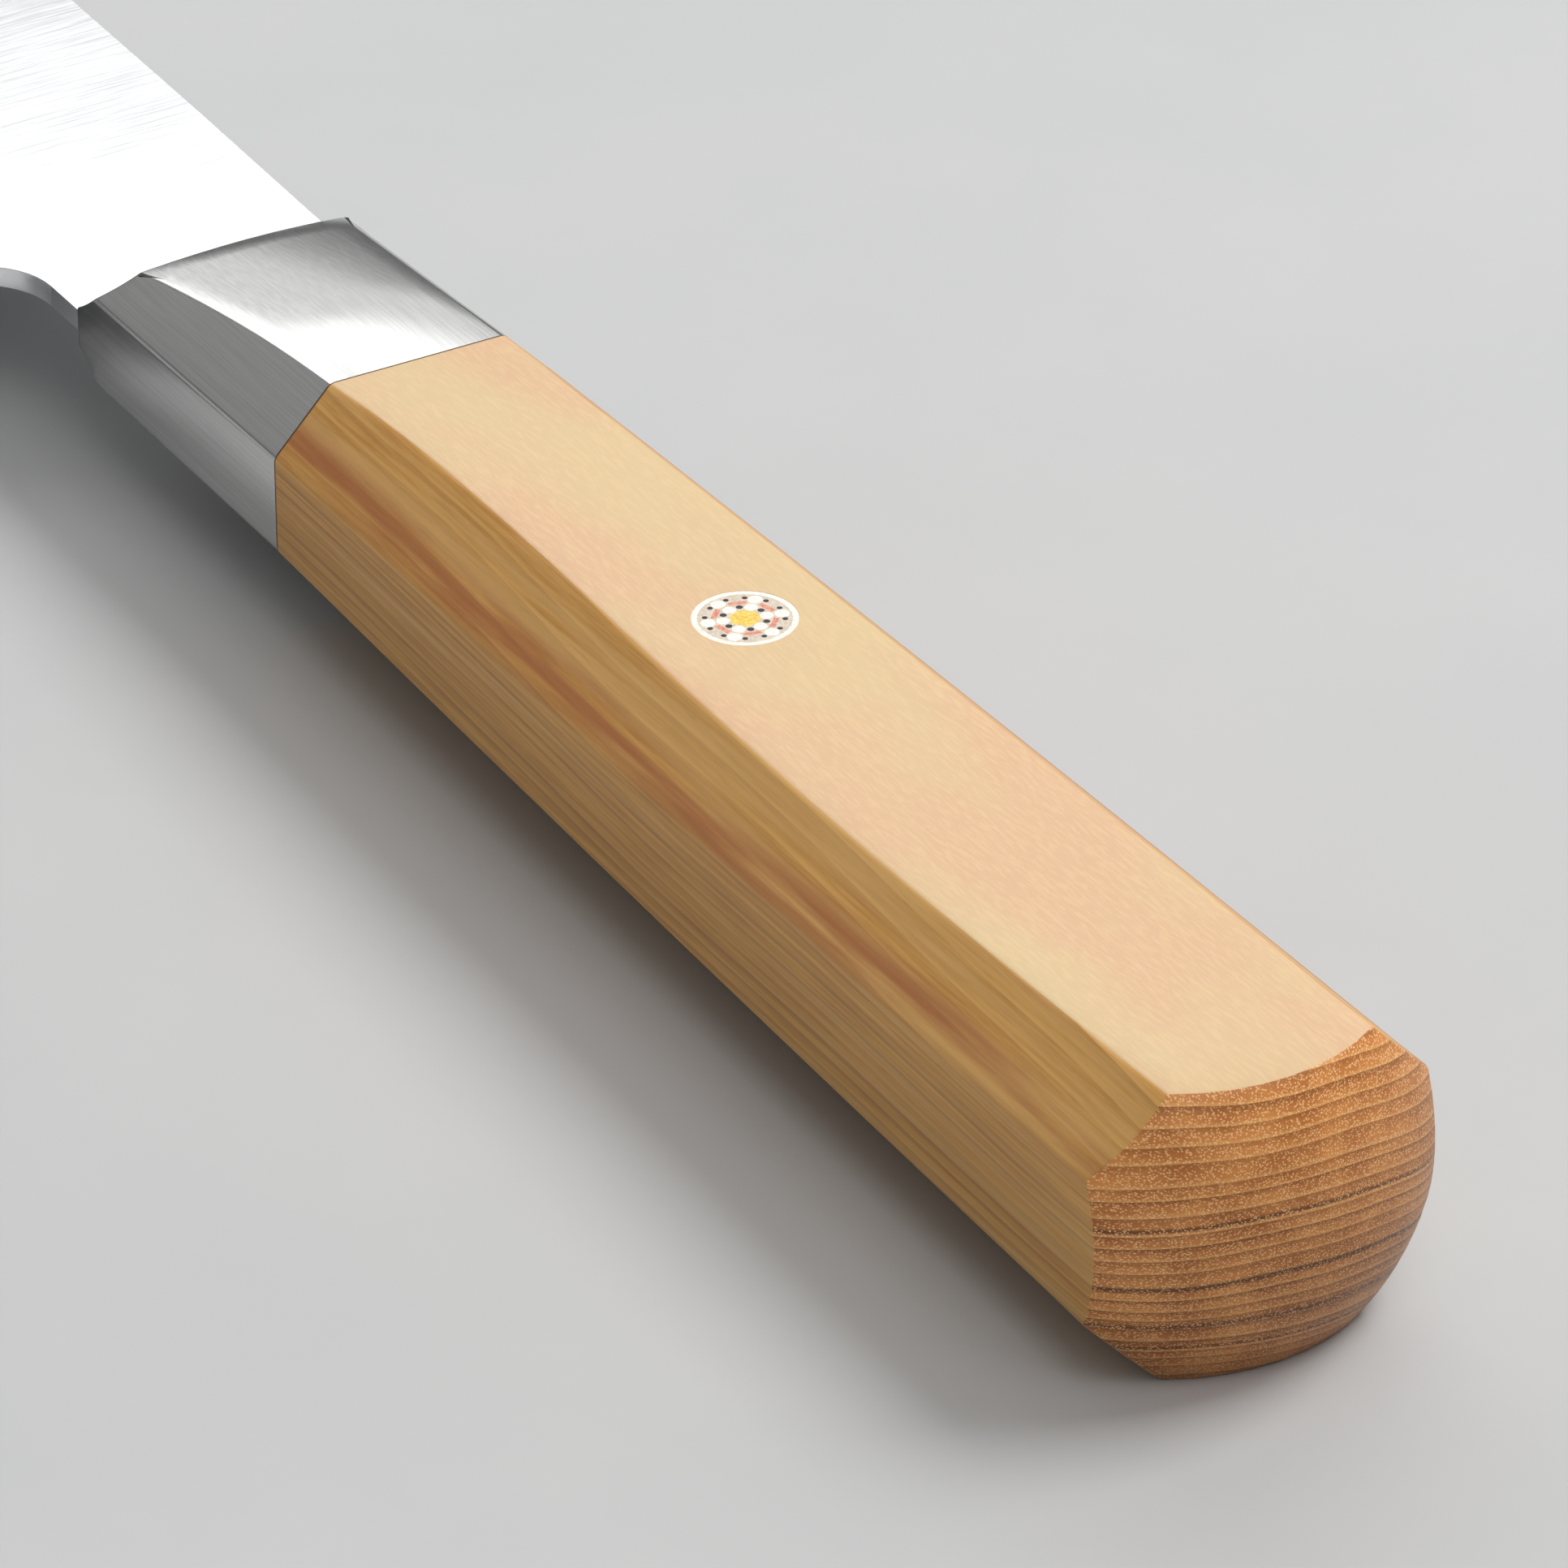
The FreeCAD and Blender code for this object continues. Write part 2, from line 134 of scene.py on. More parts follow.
def brushed_steel(name, bright, dull, stretch, smooth, coarse, relief):
    """Steel with fine straight lines, and its roughness: stretch is small along the lines."""
    material, tree, shader = new_material(name, metallic=1.0)
    centre = (0, 0, 0)
    lines = cloud(tree, place_in_mm(tree, centre, stretch), 1.0, 3.0, 0.6)
    haze = cloud(tree, place_in_mm(tree, centre), 0.05, 2.0)
    colour = blend_colours(tree, ramp_between(tree, lines, 0.3, 0.7), dull, bright)
    tree.links.new(colour, shader.inputs["Base Color"])
    mixed = reckon(tree, "MULTIPLY_ADD", haze, 0.5, reckon(tree, "MULTIPLY", lines, 0.5))
    roughness = spread(tree, mixed, 0.3, 0.7, smooth, coarse)
    tree.links.new(roughness, shader.inputs["Roughness"])
    add_bump(tree, shader, lines, 0.25, relief)
    return material, tree, shader, colour, roughness


def give_material(node_name, material):
    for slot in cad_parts[node_name].material_slots:
        slot.material = material


blade_steel, tree, shader, flat_colour, flat_roughness = brushed_steel(
    "blade_steel", tint(236, 237, 238), tint(214, 216, 218), (6.0, 0.12, 6.0), 0.11, 0.21, 0.002 * MM
)
# the honed bevel leans further out than the flats, is brighter, and scatters more light
honed = ramp_between(tree, facing_way(tree)[1], 0.035, 0.05)
honed_roughness = reckon(tree, "MULTIPLY_ADD", honed, 0.14, flat_roughness)
tree.links.new(honed_roughness, shader.inputs["Roughness"])
honed_colour = blend_colours(tree, honed, flat_colour, tint(250, 251, 252))
tree.links.new(honed_colour, shader.inputs["Base Color"])
give_material("blade", blade_steel)

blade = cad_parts["blade"]
weld = blade.modifiers.new("weld", "WELD")
weld.merge_threshold = 0.002 * MM
ease = blade.modifiers.new("ease", "BEVEL")
ease.limit_method = "ANGLE"
ease.angle_limit = math.radians(40)
ease.width = BROKEN_CORNER
ease.segments = 3
ease.harden_normals = True


# ---- Bolster -----------------------------------------------------------------------------------
# A block of polished stainless steel, slotted for the tang and pushed up against the wood. It carries
# the handle's eight sides on, thins and crowns towards the blade, and ends in two scooped noses.

JOINT_HALF_HEIGHT = 10.1 * MM
JOINT_THICK = 14.8 * MM
JOINT_FLAT = 6.5 * MM
CHAMFER = 4.15 * MM
CHAMFER_LEAN = 0.965
NOSE_START = 21.9 * MM
NOSE_RADIUS = 16 * MM
NOSE_SHOULDER = 5.45 * MM
NOSE_LIP = 1.35 * MM
MIDDLE_THICK = 13.3 * MM
NOSE_THICK = 10.9 * MM
END_THICK = 10.1 * MM
SPINE_TAPER = 1.1 * MM
FLAT_TAPER = 0.3 * MM
CROWN = 0.53 * MM
CROWN_SPLITS = 8
CROWN_RUN_IN = 0.35 * NOSE_START
STEEL_CORNER = 0.3 * MM
SCOOP_CORNER = 0.12 * MM
HAIR = 0.01 * MM

wood_low, wood_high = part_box("handle_block")
# the middle of the joint between wood and bolster, which both of them are measured from
AXIS = Vector((wood_high.x, (wood_low.y + wood_high.y) / 2, (wood_low.z + wood_high.z) / 2))


def start_box(name, low, high):
    """A plain box between two corners, left in edit mode with nothing selected."""
    bpy.ops.object.select_all(action="DESELECT")
    bpy.ops.mesh.primitive_cube_add(size=1, location=(low + high) / 2, scale=high - low)
    piece = bpy.context.object
    piece.name = piece.data.name = name
    bpy.ops.object.transform_apply(location=True, rotation=True, scale=True)
    bpy.ops.object.mode_set(mode="EDIT")
    bpy.ops.mesh.select_all(action="DESELECT")
    return piece


def pick(piece, kind, test):
    """Selects the corners, edges or faces, and only those, that pass a test."""
    bpy.ops.mesh.select_mode(type=kind)
    bpy.ops.mesh.select_all(action="DESELECT")
    mesh = bmesh.from_edit_mesh(piece.data)
    mesh.normal_update()
    for part in {"VERT": mesh.verts, "EDGE": mesh.edges, "FACE": mesh.faces}[kind]:
        part.select_set(bool(test(part)))
    mesh.select_flush_mode()
    bmesh.update_edit_mesh(piece.data)


def runs_along(edge):
    first, last = (corner.co for corner in edge.verts)
    return abs(first.x - last.x) > 0.8 * (first - last).length


def cut_eight_sides(piece, chamfer):
    pick(piece, "EDGE", runs_along)
    bpy.ops.mesh.bevel(offset=chamfer, offset_type="OFFSET", segments=1)


def add_ring(along):
    """Cuts the block in hand across at a place, which leaves a ring of eight corners there."""
    bpy.ops.mesh.select_all(action="SELECT")
    bpy.ops.mesh.bisect(plane_co=(along, 0, 0), plane_no=(1, 0, 0))


def shape_ring(piece, along, before, edge_side, spine_side, thick, flat, run):
    """Brings the ring at a place from the block's even section to the section that belongs there."""
    old_height, old_thick, chamfer = before
    height = edge_side + spine_side
    mesh = bmesh.from_edit_mesh(piece.data)
    ring = [c for c in mesh.verts if abs(c.co.x - along) < HAIR]
    on_side = [c.index for c in ring if abs(abs(c.co.y - AXIS.y) - old_height / 2) < 5 * HAIR]
    on_face = [c.index for c in ring if c.index not in on_side]
    side_scale = (1, height / old_height, flat / (old_thick - 2 * chamfer))
    face_scale = (1, (height - 2 * run) / (old_height - 2 * chamfer), thick / old_thick)
    for indices, scale in ((on_side, side_scale), (on_face, face_scale)):
        pick(piece, "VERT", lambda corner: corner.index in indices)
        bpy.ops.transform.resize(value=scale, center_override=(along, AXIS.y, AXIS.z))
    pick(piece, "VERT", lambda corner: corner.index in on_side + on_face)
    bpy.ops.transform.translate(value=(0, (edge_side - spine_side) / 2, 0))


def through_points(values, share):
    """The smooth curve through values at even steps, read at a share of its length."""
    count = len(values) - 1
    total = 0
    for i, value in enumerate(values):
        weight = 1
        for j in range(count + 1):
            if j != i:
                weight *= (share * count - j) / (i - j)
        total += weight * value
    return total


def apply_modifier(piece, kind, **settings):
    modifier = piece.modifiers.new(kind.lower(), kind)
    for name, setting in settings.items():
        setattr(modifier, name, setting)
    bpy.context.view_layer.objects.active = piece
    bpy.ops.object.modifier_apply(modifier=modifier.name)


def cut_away(piece, cutter):
    """Takes the cutter's shape out of the piece, and the cutter out of the scene."""
    apply_modifier(piece, "BOOLEAN", operation="DIFFERENCE", solver="EXACT", object=cutter)
    bpy.data.objects.remove(cutter)


def ease_edges(piece, test, width, segments, sharp=25):
    """Rounds over the sharp edges that pass a test."""
    limit = math.radians(sharp)
    pick(piece, "EDGE", lambda e: len(e.link_faces) == 2 and e.calc_face_angle(0) > limit and test(e))
    bpy.ops.mesh.bevel(offset=width, offset_type="OFFSET", segments=segments, profile=0.5)


def finish_piece(piece, material, node_name):
    bpy.ops.object.mode_set(mode="OBJECT")
    bpy.ops.object.select_all(action="DESELECT")
    piece.select_set(True)
    bpy.context.view_layer.objects.active = piece
    bpy.ops.object.shade_smooth_by_angle(angle=math.radians(25))
    piece.data.materials.clear()
    piece.data.materials.append(material)
    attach(piece, "root")
    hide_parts(node_name)


bolster_low, bolster_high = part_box("bolster")
bolster_length = bolster_high.x - bolster_low.x
half_size = Vector((0, JOINT_HALF_HEIGHT, JOINT_THICK / 2))
even_section = (2 * JOINT_HALF_HEIGHT, JOINT_THICK, CHAMFER)
blade_end = Vector((bolster_length, 0, 0))
bolster = start_box("bolster_block", AXIS - half_size, AXIS + half_size + blade_end)
cut_eight_sides(bolster, CHAMFER)

ring_places = [NOSE_START * step / 10 for step in range(11)] + [bolster_length]
for place in ring_places[1:-1]:
    add_ring(AXIS.x + place)
for place in ring_places:
    share = min(place / NOSE_START, 1)
    thick = through_points([JOINT_THICK, MIDDLE_THICK, NOSE_THICK], share)
    if place > NOSE_START:
        thick = END_THICK
    spine_side = JOINT_HALF_HEIGHT - SPINE_TAPER * share
    flat = JOINT_FLAT - FLAT_TAPER * share
    run = CHAMFER_LEAN * (thick - flat) / 2
    shape_ring(bolster, AXIS.x + place, even_section, JOINT_HALF_HEIGHT, spine_side, thick, flat, run)

# the top and bottom are crowned: split lengthwise, then raised by a parabola that fades at the joint
goes_across = lambda edge: abs(edge.verts[0].co.y - edge.verts[1].co.y) > JOINT_HALF_HEIGHT
pick(bolster, "EDGE", goes_across)
bpy.ops.mesh.subdivide(number_cuts=CROWN_SPLITS - 1)
for level in range(1, CROWN_SPLITS):
    lift = CROWN * (1 - (2 * level / CROWN_SPLITS - 1) ** 2)
    for place in ring_places[1:]:
        fade = min(place / CROWN_RUN_IN, 1)
        for side in (1, -1):
            mesh = bmesh.from_edit_mesh(bolster.data)
            ring = [c for c in mesh.verts if abs(c.co.x - AXIS.x - place) < HAIR]
            row = [c for c in ring if side * (c.co.z - AXIS.z) > END_THICK / 2 - HAIR]
            index = sorted(row, key=lambda corner: corner.co.y)[level].index
            pick(bolster, "VERT", lambda corner: corner.index == index)
            bpy.ops.transform.translate(value=(0, 0, side * lift * fade))

ease_edges(bolster, runs_along, STEEL_CORNER, 2, 20)
bpy.ops.object.mode_set(mode="OBJECT")

# the scoops are ground by a round wheel, down to a thin lip on each side of the blade
shoulder = Vector((NOSE_START, NOSE_SHOULDER))
foot = Vector((bolster_length, NOSE_LIP))
chord = foot - shoulder
outward = Vector((-chord.y, chord.x)).normalized()
wheel_centre = (shoulder + foot) / 2 + outward * math.sqrt(NOSE_RADIUS**2 - (chord.length / 2) ** 2)
for side in (1, -1):
    bpy.ops.object.select_all(action="DESELECT")
    place = AXIS + Vector((wheel_centre.x, 0, side * wheel_centre.y))
    bpy.ops.mesh.primitive_cylinder_add(
        vertices=256, radius=NOSE_RADIUS, depth=40 * MM, location=place, rotation=(math.pi / 2, 0, 0)
    )
    cut_away(bolster, bpy.context.object)
bpy.context.view_layer.objects.active = bolster
bpy.ops.object.mode_set(mode="EDIT")
past_middle = lambda edge: min(c.co.x for c in edge.verts) > AXIS.x + NOSE_START / 2
ease_edges(bolster, past_middle, SCOOP_CORNER, 2, 30)

bolster_steel, *_ = brushed_steel(
    "bolster_steel", tint(204, 204, 203), tint(192, 192, 191), (0.1, 7.0, 7.0), 0.17, 0.20, 0.00004 * MM
)
finish_piece(bolster, bolster_steel, "bolster")


# ---- Handle ------------------------------------------------------------------------------------
# One block of oiled fruit wood, planed to eight sides that swell towards the butt, with a turned and
# sanded dome of end grain. It is glued over the tang and its edges are just broken by hand.

# heights and thicknesses in millimetres, at even steps from the joint to the butt
HEIGHTS = [20.2, 21.125, 21.8, 22.175, 22.3]
THICKS = [14.8, 16.64, 16.72, 17.5, 18.84]
FLAT_GAIN = 3 * MM
OVERRUN = 1 * MM
DOME_RINGS = 12
DOME_INSET = 3.0 * MM
DOME_PLAN_RADIUS = 15.55 * MM
DOME_UPRIGHT_RADIUS = 16.16 * MM
LAST_RING_INSET = 9 * MM
WOOD_CORNER = 0.22 * MM
JOINT_CORNER = 0.06 * MM

wood_length = wood_high.x - wood_low.x
block_length = Vector((wood_length + OVERRUN, 0, 0))
handle = start_box("handle_wood_block", AXIS - half_size - block_length, AXIS + half_size)
cut_eight_sides(handle, CHAMFER)
ring_places = [(wood_length - LAST_RING_INSET) * step / 20 for step in range(21)]
for place in ring_places[1:]:
    add_ring(AXIS.x - place)
for place in ring_places + [block_length.x]:
    share = min(place, wood_length - DOME_INSET) / wood_length
    height = through_points(HEIGHTS, share) * MM
    thick = through_points(THICKS, share) * MM
    flat = JOINT_FLAT + FLAT_GAIN * share
    run = CHAMFER_LEAN * (thick - flat) / 2
    shape_ring(handle, AXIS.x - place, even_section, height / 2, height / 2, thick, flat, run)
pick(handle, "EDGE", lambda e: not runs_along(e))
bpy.ops.mesh.subdivide(number_cuts=7)

# the butt: its flat end is drawn in ring by ring to a point, then laid on the dome
butt_end = AXIS.x - block_length.x
pick(handle, "FACE", lambda f: f.normal.x < -0.9)
bpy.ops.mesh.delete(type="ONLY_FACE")
pick(handle, "EDGE", lambda e: max(c.co.x for c in e.verts) < butt_end + HAIR)
for left in range(DOME_RINGS, 1, -1):
    bpy.ops.mesh.extrude_edges_move()
    closer = (left - 1) / left
    bpy.ops.transform.resize(value=(1, closer, closer), center_override=(butt_end, AXIS.y, AXIS.z))
bpy.ops.mesh.merge(type="CENTER")
bpy.ops.object.mode_set(mode="OBJECT")
cap = handle.vertex_groups.new(name="butt")
cap.add([v.index for v in handle.data.vertices if v.co.x < butt_end + HAIR], 1.0, "REPLACE")
bpy.ops.object.select_all(action="DESELECT")
bpy.ops.mesh.primitive_uv_sphere_add(
    segments=192,
    ring_count=96,
    radius=1,
    location=(wood_low.x + DOME_PLAN_RADIUS, AXIS.y, AXIS.z),
    scale=(DOME_PLAN_RADIUS, DOME_PLAN_RADIUS, DOME_UPRIGHT_RADIUS),
)
dome = bpy.context.object
apply_modifier(
    handle,
    "SHRINKWRAP",
    target=dome,
    vertex_group="butt",
    wrap_method="PROJECT",
    use_project_x=True,
    use_positive_direction=True,
    use_negative_direction=False,
)
bpy.data.objects.remove(dome)
handle.vertex_groups.clear()

bpy.ops.object.mode_set(mode="EDIT")
at_joint = lambda edge: min(c.co.x for c in edge.verts) > AXIS.x - HAIR
ease_edges(handle, lambda e: not at_joint(e), WOOD_CORNER, 2)
ease_edges(handle, at_joint, JOINT_CORNER, 1, 30)
bpy.ops.object.mode_set(mode="OBJECT")
pin_low, pin_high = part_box("pin_tube")
pin_centre = (pin_low + pin_high) / 2
bpy.ops.object.select_all(action="DESELECT")
bpy.ops.mesh.primitive_cylinder_add(
    vertices=96, radius=(pin_high.x - pin_low.x) / 2, depth=30 * MM, location=pin_centre
)
cut_away(handle, bpy.context.object)
bpy.context.view_layer.objects.active = handle


def scaled(tree, place, stretch):
    inputs = {0: place, 1: stretch}
    return add_node(tree, "VectorMath", inputs, operation="MULTIPLY").outputs[0]


def grain(tree, place, stretch, detail=2.0, rough=0.5):
    """A cloud drawn out along the wood: a small stretch makes it long, a large one fine."""
    return cloud(tree, scaled(tree, place, stretch), 1.0, detail, rough)


def opposite(tree, share):
    return reckon(tree, "SUBTRACT", 1.0, share)


def how_far(tree, number, middle):
    return reckon(tree, "ABSOLUTE", reckon(tree, "SUBTRACT", number, middle))


def stain(tree, wood, mask, strength, colour):
    """Lays a colour over the wood where a mask is 1, as strongly as the strength says."""
    return blend_colours(tree, reckon(tree, "MULTIPLY", mask, strength), wood, colour)


def pack_rings(tree, place):
    """Growth rings: how far from the heart a point grew, and a count that rises with each year."""
    PITH = (5.5, -46.0)
    RINGS_PER_MM = 1.12
    axes = split_axes(tree, place)
    across = reckon(tree, "POWER", reckon(tree, "SUBTRACT", axes[1], PITH[0]), 2.0)
    up = reckon(tree, "POWER", reckon(tree, "SUBTRACT", axes[2], PITH[1]), 2.0)
    radius = reckon(tree, "SQRT", reckon(tree, "ADD", across, up))
    wave = grain(tree, place, (0.018, 0.06, 0.06), 1.0)
    radius = reckon(tree, "MULTIPLY_ADD", wave, 3.2, radius)
    line = add_node(tree, "CombineXYZ", {0: reckon(tree, "MULTIPLY", radius, 0.45)}).outputs[0]
    uneven = cloud(tree, line, 1.0, 2.0)
    even = reckon(tree, "MULTIPLY", radius, RINGS_PER_MM)
    return radius, reckon(tree, "MULTIPLY_ADD", uneven, 1.6, even)


def year_value(tree, year, seed):
    """A number from 0 to 1 that belongs to each year and jumps between years."""
    number = reckon(tree, "ADD", reckon(tree, "FLOOR", year), seed)
    return add_node(tree, "TexWhiteNoise", {"W": number}, noise_dimensions="1D").outputs["Value"]


def dark_bands(tree, radius, bands):
    """1 in the middle of each thin dark ring left by a poor summer, and 0 away from them."""
    share = 0.0
    for middle, half_width in bands:
        band = opposite(tree, ramp_between(tree, how_far(tree, radius, middle), 0.04, half_width))
        share = reckon(tree, "MAXIMUM", share, band)
    return share


handle_wood, tree, shader = new_material("handle_wood", specular_ior_level=0.35)
place = place_in_mm(tree, AXIS)
along, sideways, height_up = split_axes(tree, place)
radius, year = pack_rings(tree, place)
season = reckon(tree, "FRACT", year)
late = ramp_between(tree, season, 0.42, 0.95)
early = opposite(tree, ramp_between(tree, season, 0.05, 0.32))
dark_year = ramp_between(tree, year_value(tree, year, 7.0), 0.5, 1.0)
dark_rings = dark_bands(tree, radius, [(46.5, 0.34), (43.4, 0.40), (41.4, 0.24), (50.3, 0.22)])
faces_along, _, faces_up = facing_way(tree)
end_grain = ramp_between(tree, reckon(tree, "ABSOLUTE", faces_along), 0.25, 0.4)
flat_faces_with_painted_sheen = ramp_between(tree, reckon(tree, "ABSOLUTE", faces_up), 0.84, 0.94)
# painted light: the wood is made lighter towards the top and the edge side and darker low down, as if
# more light fell on its upper part
painted_light_height = reckon(tree, "MULTIPLY_ADD", sideways, 0.4, height_up)
painted_light_scale = spread(tree, painted_light_height, -10, 9, 0.75, 1.38)

# quarter-cut sides: ochre, with fine straight fibres, dark late wood and one long reddish streak
fibres = grain(tree, place, (0.10, 3.2, 3.2), 4.0, 0.62)
vessels = grain(tree, place, (0.32, 9.0, 9.0), 2.0, 0.6)
pale_bands = ramp_between(tree, grain(tree, place, (0.012, 0.55, 0.55), 2.0, 0.55), 0.45, 0.62)
late_on_side = reckon(tree, "MULTIPLY_ADD", dark_year, 0.24, 0.10)
streak_wander = grain(tree, place, (0.03, 0.0, 0.0), 1.0)
streak_height = reckon(tree, "MULTIPLY_ADD", streak_wander, 1.8, 3.6)
streak_line = reckon(tree, "MULTIPLY_ADD", along, -0.008, streak_height)
streak = opposite(tree, ramp_between(tree, how_far(tree, height_up, streak_line), 0.2, 1.4))
broken = ramp_between(tree, grain(tree, place, (0.05, 0.9, 0.9), 3.0), 0.28, 0.62)
pale_fibres = ramp_between(tree, fibres, 0.32, 0.68)
side = blend_colours(tree, pale_fibres, tint(186, 133, 67), tint(206, 156, 86))
side = stain(tree, side, pale_bands, 0.5, tint(206, 165, 106))
side = stain(tree, side, late, late_on_side, tint(132, 82, 40))
side = stain(tree, side, dark_rings, 0.3, tint(124, 72, 34))
side = stain(tree, side, early, 0.3, tint(222, 176, 106))
side = stain(tree, side, reckon(tree, "MULTIPLY", streak, broken), 0.8, tint(158, 92, 54))
side = stain(tree, side, ramp_between(tree, vessels, 0.56, 0.72), 0.13, tint(120, 76, 38))
# painted light: the side colour is scaled lighter high up and darker low down
side = add_node(tree, "VectorMath", {0: side, "Scale": painted_light_scale}, operation="SCALE").outputs[0]

# flat-cut top and bottom faces: clouded from golden to pink with faint flecks; much of their paleness
# against the sides is painted light and sheen
clouds = grain(tree, place, (0.035, 0.09, 0.02), 2.0, 0.55)
flecks = grain(tree, place, (0.7, 4.5, 2.0), 3.0, 0.6)
pink = ramp_between(tree, clouds, 0.38, 0.62)
face = blend_colours(tree, pink, tint(224, 195, 146), tint(226, 183, 142))
face = stain(tree, face, ramp_between(tree, flecks, 0.4, 0.7), 0.5, tint(238, 206, 154))

# end grain: red-brown and darker with oil, rings with dark late wood, and pale pores in rows
mottle = grain(tree, place, (0.1, 0.35, 0.35), 3.0)
late_on_end = reckon(tree, "MULTIPLY_ADD", dark_year, 0.3, 0.42)
pore_inputs = {"Vector": scaled(tree, place, (0.8, 7.0, 8.2)), "Scale": 1.0, "Randomness": 1.0}
pore_gap = add_node(tree, "TexVoronoi", pore_inputs).outputs["Distance"]
porous = opposite(tree, ramp_between(tree, season, 0.6, 1.2))
pores = reckon(tree, "MULTIPLY", opposite(tree, ramp_between(tree, pore_gap, 0.22, 0.5)), porous)
end = blend_colours(tree, ramp_between(tree, mottle, 0.3, 0.7), tint(174, 105, 52), tint(204, 134, 73))
end = stain(tree, end, late, late_on_end, tint(112, 62, 30))
end = stain(tree, end, early, 0.6, tint(220, 164, 102))
end = stain(tree, end, dark_rings, 0.8, tint(84, 46, 26))
end = stain(tree, end, pores, 0.72, tint(248, 200, 140))
# painted light: the end grain is scaled lighter high up and darker low down
end = add_node(tree, "VectorMath", {0: end, "Scale": painted_light_scale}, operation="SCALE").outputs[0]

# painted light and sheen: the top and bottom take the paler face colour
wood = blend_colours(tree, flat_faces_with_painted_sheen, side, face)
wood = blend_colours(tree, end_grain, wood, end)
# glue and oil darken a hair's breadth of wood at the joint
glued = ramp_between(tree, along, -0.22, -0.10)
wood = blend_colours(tree, glued, wood, tint(122, 90, 52))
tree.links.new(wood, shader.inputs["Base Color"])
tree.links.new(spread(tree, fibres, 0.3, 0.7, 0.34, 0.44), shader.inputs["Roughness"])
open_pores = reckon(tree, "MULTIPLY", pores, end_grain)
relief = reckon(tree, "SUBTRACT", reckon(tree, "MULTIPLY", fibres, 0.5), open_pores)
add_bump(tree, shader, relief, 0.35, 0.02 * MM)
finish_piece(handle, handle_wood, "handle_block")


# ---- Tang bedding ------------------------------------------------------------------------------
# Epoxy that fills the slot round the tang and holds the blade in the wood. It is poured and cures
# amber, with a few trapped bubbles, and none of it shows once the handle is together.

epoxy, tree, shader = new_material("epoxy", roughness=0.3)
bubbles = cloud(tree, place_in_mm(tree, AXIS), 0.9, 3.0)
clear = ramp_between(tree, bubbles, 0.4, 0.65)
amber = blend_colours(tree, clear, tint(176, 132, 62), tint(206, 172, 104))
tree.links.new(amber, shader.inputs["Base Color"])
give_material("tang_bedding", epoxy)


# ---- Mosaic pin --------------------------------------------------------------------------------
# A thin tube of white metal packed with brass, copper and white-metal rods and cast full of pale
# resin. It is driven through wood and tang, cut flush and sanded with the handle.

def sanded(name, light, dark, roughness, metallic):
    """A cut and sanded end: two shades in fine swirls, a little rougher where it is darker."""
    material, tree, shader = new_material(name, metallic=metallic)
    swirls = cloud(tree, place_in_mm(tree, pin_centre), 5.0, 3.0, 0.6)
    colour = blend_colours(tree, ramp_between(tree, swirls, 0.35, 0.65), dark, light)
    tree.links.new(colour, shader.inputs["Base Color"])
    polish = spread(tree, swirls, 0.0, 1.0, roughness + 0.1, roughness - 0.1)
    tree.links.new(polish, shader.inputs["Roughness"])
    add_bump(tree, shader, swirls, 0.15, 0.003 * MM)
    return material


PIN_FINISHES = {
    "pin_white_metal": (tint(246, 244, 234), tint(228, 224, 212), 0.36, 0.3),
    "pin_brass": (tint(244, 212, 96), tint(220, 176, 60), 0.38, 0.35),
    "pin_dark": (tint(34, 30, 32), tint(14, 12, 14), 0.5, 0.0),
    "pin_copper": (tint(232, 156, 132), tint(212, 120, 96), 0.42, 0.2),
    "pin_resin": (tint(226, 212, 192), tint(208, 190, 168), 0.36, 0.0),
}
PIN_SLOTS = {
    "pin_tube": "pin_white_metal",
    "pin_inner_bright_rods": "pin_white_metal",
    "pin_outer_bright_rods": "pin_white_metal",
    "pin_core": "pin_brass",
    "pin_inner_dark_rods": "pin_dark",
    "pin_outer_dark_rods": "pin_dark",
    "pin_copper_strips": "pin_copper",
    "pin_resin": "pin_resin",
}
finishes = {name: sanded(name, *finish) for name, finish in PIN_FINISHES.items()}
for node_name, finish_name in PIN_SLOTS.items():
    give_material(node_name, finishes[finish_name])


# ---- Table, light and camera -------------------------------------------------------------------
# A pale smooth table, a wide softbox beyond the tip that the steel mirrors, a softer lamp over the
# spine side and a light grey room. The camera looks down the handle from behind the butt.

bpy.ops.object.select_all(action="DESELECT")
bpy.ops.mesh.primitive_plane_add(size=6, location=(0, 0, 0))
floor = bpy.context.object
floor.name = "table_top"
floor_paint, tree, shader = new_material("table_paint", roughness=0.6)
patches = cloud(tree, place_in_mm(tree, (0, 0, 0)), 0.02, 5.0, 0.6)
pale_patches = ramp_between(tree, patches, 0.3, 0.7)
shade = blend_colours(tree, pale_patches, tint(196, 197, 197), tint(201, 201, 201))
tree.links.new(shade, shader.inputs["Base Color"])
floor.data.materials.append(floor_paint)


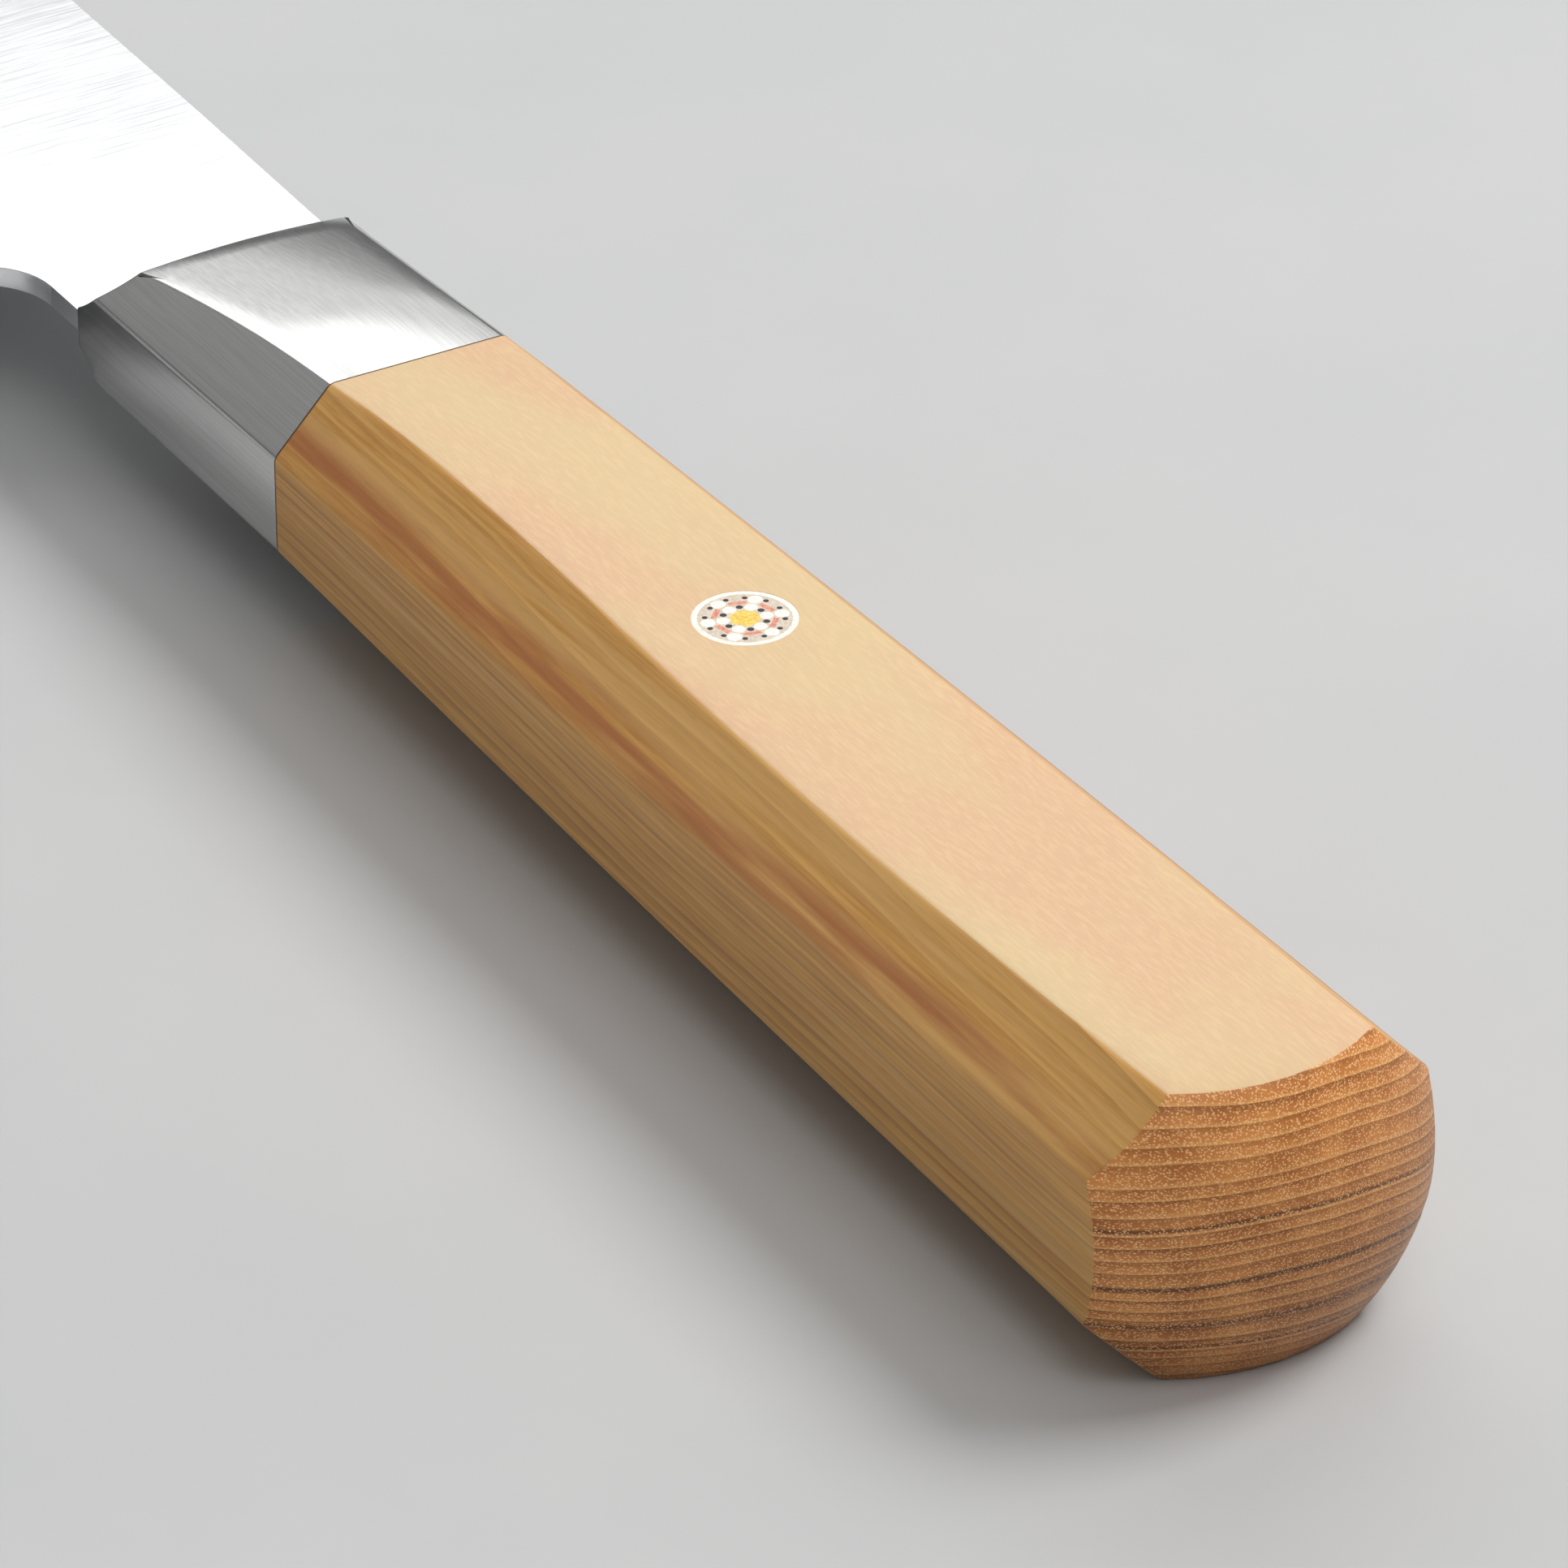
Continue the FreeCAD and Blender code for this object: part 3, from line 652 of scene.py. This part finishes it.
def add_softbox(name, direction, elevation, distance, size, power):
    """A rectangular lamp that faces the joint, from a level direction and an elevation in degrees."""
    rise = math.radians(elevation)
    level = Vector(direction).normalized() * math.cos(rise)
    away = Vector((level.x, level.y, math.sin(rise)))
    data = bpy.data.lights.new(name, "AREA")
    data.shape = "RECTANGLE"
    data.size, data.size_y = size
    data.energy = power
    lamp = bpy.data.objects.new(name, data)
    lamp.location = AXIS + away * distance
    lamp.rotation_euler = away.to_track_quat("Z", "Y").to_euler()
    bpy.context.scene.collection.objects.link(lamp)


add_softbox("softbox_beyond_tip", (0.735, -0.436), 38.5, 1.2, (1.3, 0.45), 4.0)
add_softbox("glow_beyond_tip", (0.735, -0.436), 21.5, 1.2, (1.8, 0.21), 0.98)
add_softbox("haze_beyond_tip", (0.735, -0.436), 15.5, 1.2, (1.8, 0.2), 0.28)
add_softbox("glow_edge_side", (0.735, 0.5), 22, 1.2, (0.9, 0.7), 0.42)
add_softbox("glow_behind_butt", (-0.9, 0.45), 34, 1.2, (0.7, 0.5), 0.5)
add_softbox("softbox_spine_side", (-0.15, -1.0), 52, 1.2, (0.55, 0.5), 8.8)
add_softbox("softbox_behind_butt", (-1.0, 0.1), 58, 1.3, (0.8, 0.6), 3)

# the room is a grey that grows lighter from the horizon up, with a pale ceiling straight overhead
world = bpy.data.worlds.new("room")
world.use_nodes = True
tree = world.node_tree
rise = split_axes(tree, add_node(tree, "TexCoord").outputs["Generated"])[2]
up_the_walls = ramp_between(tree, rise, 0.0, 0.9)
walls = blend_colours(tree, up_the_walls, (0.13, 0.13, 0.13, 1), (0.24, 0.24, 0.24, 1))
room = blend_colours(tree, ramp_between(tree, rise, 0.84, 0.98), walls, (0.55, 0.55, 0.55, 1))
tree.links.new(room, tree.nodes["Background"].inputs["Color"])
bpy.context.scene.world = world
bpy.context.scene.view_settings.view_transform = "Standard"

camera_data = bpy.data.cameras.new("camera")
camera_data.lens = 223.6
camera_data.sensor_width = 36
camera_data.clip_start, camera_data.clip_end = 0.01, 20
camera = bpy.data.objects.new("camera", camera_data)
camera.location = AXIS + Vector((-463.03, 248.47, 295.65)) * MM
camera.rotation_euler = Vector((0.735, -0.436, -0.519)).to_track_quat("-Z", "Y").to_euler()
bpy.context.scene.collection.objects.link(camera)
bpy.context.scene.camera = camera
